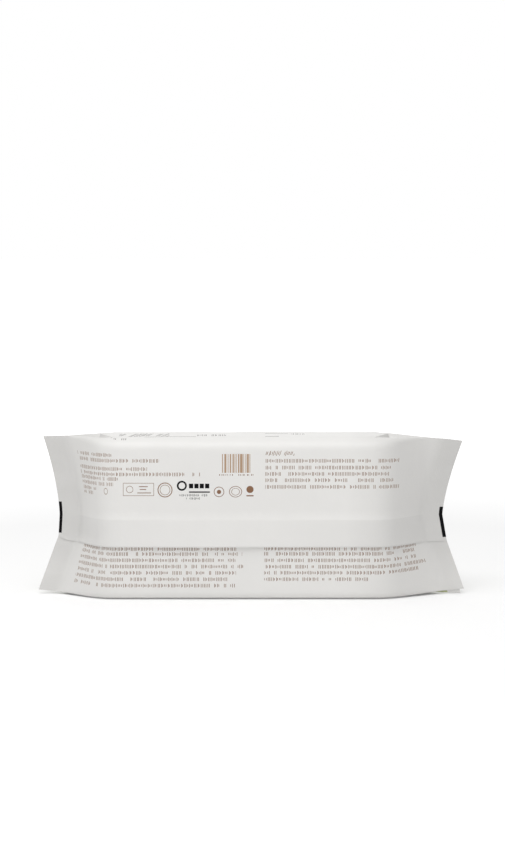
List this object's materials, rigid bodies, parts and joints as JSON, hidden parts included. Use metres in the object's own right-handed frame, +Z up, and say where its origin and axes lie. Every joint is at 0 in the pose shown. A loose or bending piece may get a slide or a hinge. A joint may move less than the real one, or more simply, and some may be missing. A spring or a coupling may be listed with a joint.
{
  "type": "wet wipes pack",
  "caption": "Sealed soft film pack of wet wipes with side gussets, flat end seals, a folded fin seal down the back and a glued reseal label, standing on its long side.",
  "frame": {"origin": "under the middle of the pack, on the surface that its long lower side rests on", "axes": "+X along the pack from one end seal to the other, -Y out of the back with the fin seal, +Y out of the front with the label, +Z up"},
  "size_m": [0.2672, 0.0514, 0.1008],
  "materials": {
    "film": "satin",
    "label": "satin"
  },
  "bodies": {
    "root": {"film_pack": "film", "reseal_label": "label"}
  },
  "joints": []
}
